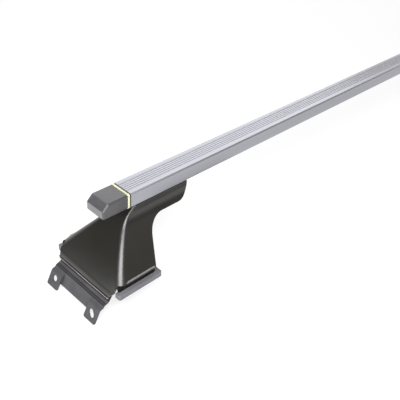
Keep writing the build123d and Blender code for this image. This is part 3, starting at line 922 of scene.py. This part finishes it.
def plate_bolts(side, hand):
    """Hexagon bolts that stand up through the bracket and the base plate."""
    first_x = hand * (BAR_LOW.x + PLATE_BOLT_X)
    return bolt_row(
        f"plate_bolts_{side}",
        PLATE_BOLT_RADIUS,
        First_Place=(first_x, -PLATE_BOLT_SPACING / 2, BAR_LOW.z + PLATE_BOLT_SEAT),
        Spacing=(0.0, PLATE_BOLT_SPACING, 0.0),
        Turn=(0.0, 0.0, 0.0),
        Head_Sides=PLATE_BOLT_SIDES,
        Head_Turn=(0.0, 0.0, 0.0),
        Head_Radius=PLATE_BOLT_HEAD / sqrt(3),
        Head_Height=PLATE_BOLT_HEAD_HEIGHT,
        Length=PLATE_BOLT_LENGTH,
        Pitch=PLATE_BOLT_PITCH,
    )


# Pieces of each foot and of the bar's ends: solid, name, edge, material and slot
FOOT_PIECES = (
    ("base_plate", "welded_base_plate", SHEET_EDGE, PLATE, "plate_paint"),
    ("rubber_pad", "moulded_pad", PAD_EDGE, RUBBER, "pad_rubber"),
    ("fixing_bracket", "folded_bracket", SHEET_EDGE, COATING, "bracket_paint"),
    ("bar_washers", "slot_washers", STEEL_EDGE, ZINC, "zinc_steel"),
    ("bar_nuts", "slot_nuts", STEEL_EDGE, ZINC, "zinc_steel"),
    ("bracket_washers", "plate_washers", STEEL_EDGE, ZINC, "zinc_steel"),
    ("bracket_nuts", "plate_nuts", STEEL_EDGE, ZINC, "zinc_steel"),
)
END_PIECES = (
    ("end_cap", "moulded_cap", CAP_EDGE, PLASTIC, "cap_plastic"),
    ("cap_seal", "cap_gasket", CAP_EDGE, CREAM, "seal_rubber"),
)


def dress(piece, body, node):
    """Lets a piece ride on its body in place of a solid."""
    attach(piece, body)
    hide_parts(node)


def dress_copies(pieces, side, body):
    """Softened copies of one side's solids, on their body."""
    for node, name, edge, material, slot in pieces:
        piece = softened_copy(f"{node}_{side}", f"{name}_{side}", edge, material)
        dress(piece, body, f"{node}_{side}")


def dress_side(side, hand, hood):
    """Dresses one foot and the bar's end above it, with a hand of 1 on the left and -1 on the right."""
    foot = f"{side}_foot"
    dress(hood_piece(f"pressed_hood_{side}", hood), foot, f"foot_housing_{side}")
    dress_copies(FOOT_PIECES, side, foot)
    dress(slot_bolts(side, hand), foot, f"bar_bolts_{side}")
    dress(plate_bolts(side, hand), foot, f"bracket_bolts_{side}")
    dress_copies(END_PIECES, side, "bar")


left_hood = hood_mesh()
right_hood = mirrored(left_hood)
dress_side("left", 1, left_hood)
dress_side("right", -1, right_hood)
ribbed_bar = softened_copy("crossbar_tube", "ribbed_bar", BAR_EDGE, ALUMINIUM)
dress(ribbed_bar, "bar", "crossbar_tube")


# Stage


def shown_rays(tree):
    """1 on the rays that show the background: camera, glossy and transmission rays."""
    path = tree.nodes.new("ShaderNodeLightPath")
    total = path.outputs["Is Camera Ray"]
    for name in ("Is Glossy Ray", "Is Transmission Ray"):
        larger = tree.nodes.new("ShaderNodeMath")
        larger.operation = "MAXIMUM"
        tree.links.new(total, larger.inputs[0])
        tree.links.new(path.outputs[name], larger.inputs[1])
        total = larger.outputs[0]
    return total


# Floor: its own shade, its glow in view, its bounce on the part, and where it fades to plain white
FLOOR_SIZE = 12.0
FLOOR_GAP = 0.2 * MM
FLOOR_SHADE = 0.40
FLOOR_GLOW = 0.72
FLOOR_BOUNCE = 0.75
FLOOR_NEAR = 0.75
FLOOR_FAR = 1.5

# Surroundings as seen and as light, and the brightness of the grey cards
WORLD_SHOWN = 1.0
WORLD_FILL = 0.32
CARD_TINT = (1.0, 0.97, 0.92)
FRONT_SHADE = 0.55
BACK_SHADE = 0.13
HORIZON_SHADE = 0.35
SHADOW_SHADE = 0.0


def rectangle(name, length, width):
    """Flat mesh in the XY plane, centred on the origin."""
    x = length / 2
    y = width / 2
    mesh = bpy.data.meshes.new(name)
    mesh.from_pydata([(-x, -y, 0.0), (x, -y, 0.0), (x, y, 0.0), (-x, y, 0.0)], [], [(0, 1, 2, 3)])
    return mesh


def bare_material(name):
    """Node material with no shader yet, and its tree."""
    material = bpy.data.materials.new(name)
    material.use_nodes = True
    tree = material.node_tree
    tree.nodes.remove(tree.nodes["Principled BSDF"])
    return material, tree


def floor():
    """White floor that keeps the soft shadow under the part and fades to plain white away from it."""
    material, tree = bare_material("white_floor")

    def diffuse(grey):
        shader = tree.nodes.new("ShaderNodeBsdfDiffuse")
        shader.inputs["Color"].default_value = (grey, grey, grey, 1.0)
        return shader.outputs[0]

    def glowing(strength):
        shader = tree.nodes.new("ShaderNodeEmission")
        shader.inputs["Strength"].default_value = strength
        return shader.outputs[0]

    def mixed(share, first, second):
        mix = tree.nodes.new("ShaderNodeMixShader")
        tree.links.new(share, mix.inputs["Fac"])
        tree.links.new(first, mix.inputs[1])
        tree.links.new(second, mix.inputs[2])
        return mix.outputs[0]

    near = tree.nodes.new("ShaderNodeAddShader")
    tree.links.new(diffuse(FLOOR_SHADE), near.inputs[0])
    tree.links.new(glowing(FLOOR_GLOW), near.inputs[1])
    place = tree.nodes.new("ShaderNodeTexCoord")
    reach = tree.nodes.new("ShaderNodeVectorMath")
    reach.operation = "LENGTH"
    tree.links.new(place.outputs["Object"], reach.inputs[0])
    far = tree.nodes.new("ShaderNodeMapRange")
    far.interpolation_type = "SMOOTHSTEP"
    far.inputs["From Min"].default_value = FLOOR_NEAR
    far.inputs["From Max"].default_value = FLOOR_FAR
    tree.links.new(reach.outputs["Value"], far.inputs["Value"])
    shown = mixed(far.outputs["Result"], near.outputs[0], glowing(1.0))
    surface = mixed(shown_rays(tree), diffuse(FLOOR_BOUNCE), shown)
    tree.links.new(surface, tree.nodes["Material Output"].inputs["Surface"])
    mesh = rectangle("floor", FLOOR_SIZE, FLOOR_SIZE)
    mesh.transform(Matrix.Translation((0.0, 0.0, -FLOOR_GAP)))
    mesh_piece("floor", mesh, material)


def backdrop():
    """White surroundings for the camera and for reflections, with a softer fill for the shading."""
    world = bpy.data.worlds.new("studio")
    bpy.context.scene.world = world
    world.use_nodes = True
    tree = world.node_tree
    light = tree.nodes["Background"]
    strength = tree.nodes.new("ShaderNodeMapRange")
    strength.inputs["To Min"].default_value = WORLD_FILL
    strength.inputs["To Max"].default_value = WORLD_SHOWN
    tree.links.new(shown_rays(tree), strength.inputs["Value"])
    tree.links.new(strength.outputs["Result"], light.inputs["Strength"])
    light.inputs["Color"].default_value = (*WHITE, 1.0)


def panel_place(target, toward, distance, long_axis):
    """Place of a panel that faces a target from a direction, with its long side along an axis."""
    way = Vector(toward).normalized()
    across = way.cross(Vector(long_axis)).normalized()
    turn = Matrix((across.cross(way), across, way)).transposed().to_4x4()
    return Matrix.Translation(Vector(target) + way * distance) @ turn


def softbox(name, target, toward, distance, long_axis, size, power):
    """Area lamp that faces a target from a direction."""
    lamp = bpy.data.lights.new(name, "AREA")
    lamp.shape = "RECTANGLE"
    lamp.size, lamp.size_y = size
    lamp.energy = power
    holder = bpy.data.objects.new(name, lamp)
    holder.matrix_world = panel_place(target, toward, distance, long_axis)
    bpy.context.scene.collection.objects.link(holder)


def grey_card(name, target, toward, distance, long_axis, size, shade):
    """Grey studio card that only reflections see."""
    mesh = rectangle(name, *size)
    mesh.transform(panel_place(target, toward, distance, long_axis))
    material, tree = bare_material(name)
    glow = tree.nodes.new("ShaderNodeEmission")
    glow.inputs["Color"].default_value = (*CARD_TINT, 1.0)
    glow.inputs["Strength"].default_value = shade
    tree.links.new(glow.outputs[0], tree.nodes["Material Output"].inputs["Surface"])
    card = mesh_piece(name, mesh, material)
    card.visible_camera = False
    card.visible_diffuse = False
    card.visible_shadow = False


def photo_camera():
    """Camera at the photograph's viewpoint."""
    back = Vector(
        (
            sin(CAMERA_AZIMUTH) * cos(CAMERA_ELEVATION),
            -cos(CAMERA_AZIMUTH) * cos(CAMERA_ELEVATION),
            sin(CAMERA_ELEVATION),
        )
    )
    level = Vector((cos(CAMERA_AZIMUTH), sin(CAMERA_AZIMUTH), 0.0))
    rise = back.cross(level)
    right = level * cos(CAMERA_ROLL) + rise * sin(CAMERA_ROLL)
    up = rise * cos(CAMERA_ROLL) - level * sin(CAMERA_ROLL)
    lens = bpy.data.cameras.new("photo_camera")
    lens.lens = CAMERA_LENS
    lens.sensor_width = CAMERA_SENSOR
    lens.clip_start = CAMERA_NEAR
    lens.clip_end = CAMERA_FAR
    camera = bpy.data.objects.new("photo_camera", lens)
    turn = Matrix((right, up, back)).transposed().to_4x4()
    camera.matrix_world = Matrix.Translation(CAMERA_PLACE) @ turn
    bpy.context.scene.collection.objects.link(camera)
    bpy.context.scene.camera = camera


# What the lamps and cards face: the left foot, and the floor in front of its flag
FOOT_TARGET = (BAR_LOW.x, 0.0, 0.08)
SHADOW_TARGET = (BAR_LOW.x + 0.18, -0.115, 0.0)

floor()
backdrop()
softbox(
    "key_softbox",
    target=FOOT_TARGET,
    toward=(-0.44, -0.47, 0.77),
    distance=1.2,
    long_axis=(0.64, -0.75, 0.08),
    size=(0.80, 0.40),
    power=12.5,
)
softbox(
    "back_softbox",
    target=FOOT_TARGET,
    toward=(0.48, 0.58, 0.66),
    distance=2.0,
    long_axis=(1.0, 0.0, 0.0),
    size=(2.4, 1.2),
    power=9.5,
)
softbox(
    "low_softbox",
    target=FOOT_TARGET,
    toward=(-1.0, 0.15, 0.06),
    distance=1.0,
    long_axis=(0.0, 1.0, 0.0),
    size=(0.6, 0.16),
    power=3.4,
)
softbox(
    "bend_softbox",
    target=FOOT_TARGET,
    toward=(-0.62, -0.74, 0.25),
    distance=1.2,
    long_axis=(0.77, -0.64, 0.0),
    size=(0.40, 0.76),
    power=5.2,
)
grey_card(
    "front_card",
    target=FOOT_TARGET,
    toward=(0.66, -0.50, 0.56),
    distance=1.5,
    long_axis=(0.0, 0.75, 0.66),
    size=(2.7, 1.9),
    shade=FRONT_SHADE,
)
grey_card(
    "back_card",
    target=FOOT_TARGET,
    toward=(-0.79, 0.50, 0.34),
    distance=1.5,
    long_axis=(0.65, 0.76, 0.0),
    size=(1.1, 1.0),
    shade=BACK_SHADE,
)
grey_card(
    "horizon_card",
    target=FOOT_TARGET,
    toward=(0.50, -0.85, 0.12),
    distance=1.5,
    long_axis=(0.86, 0.50, 0.0),
    size=(2.0, 0.70),
    shade=HORIZON_SHADE,
)
# Painted shadow: a black card on the floor in front of the flag, seen only in reflections, darkens the
# floor that the flag reflects
grey_card(
    "shadow_card",
    target=SHADOW_TARGET,
    toward=(0.0, 0.0, 1.0),
    distance=0.5 * MM,
    long_axis=(1.0, 0.0, 0.0),
    size=(0.18, 0.050),
    shade=SHADOW_SHADE,
)
photo_camera()
bpy.context.scene.view_settings.view_transform = "Standard"
